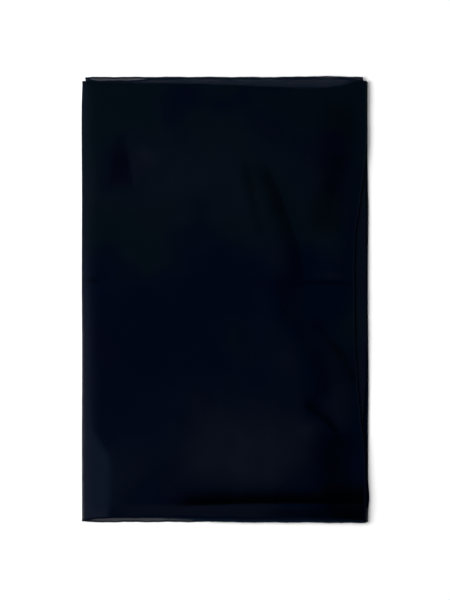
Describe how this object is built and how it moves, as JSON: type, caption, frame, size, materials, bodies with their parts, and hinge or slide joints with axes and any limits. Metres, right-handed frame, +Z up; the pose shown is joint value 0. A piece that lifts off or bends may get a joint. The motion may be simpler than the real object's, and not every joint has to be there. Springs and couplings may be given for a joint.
{
  "type": "folded scarf",
  "caption": "Light, sheer woven scarf with a narrow rolled hem all round, folded over on itself along its length and laid flat, with its free ends lying along one side.",
  "frame": {"origin": "on the surface that the folded scarf lies on, under the middle of its outline", "axes": "+Z up from that surface, +Y along the folds towards the back long hem, +X across the folds towards the free ends"},
  "size_m": [0.4527, 0.7013, 0.0112],
  "materials": {
    "woven_cloth": "sheer, fine crinkled weave, matt with a faint sheen",
    "rolled_hem": "matt, thin rolled edge held by small stitches"
  },
  "bodies": {
    "root": {"cloth": "woven_cloth", "hem_back": "rolled_hem", "hem_front": "rolled_hem", "hem_top_end": "rolled_hem", "hem_inner_end": "rolled_hem"}
  },
  "joints": []
}
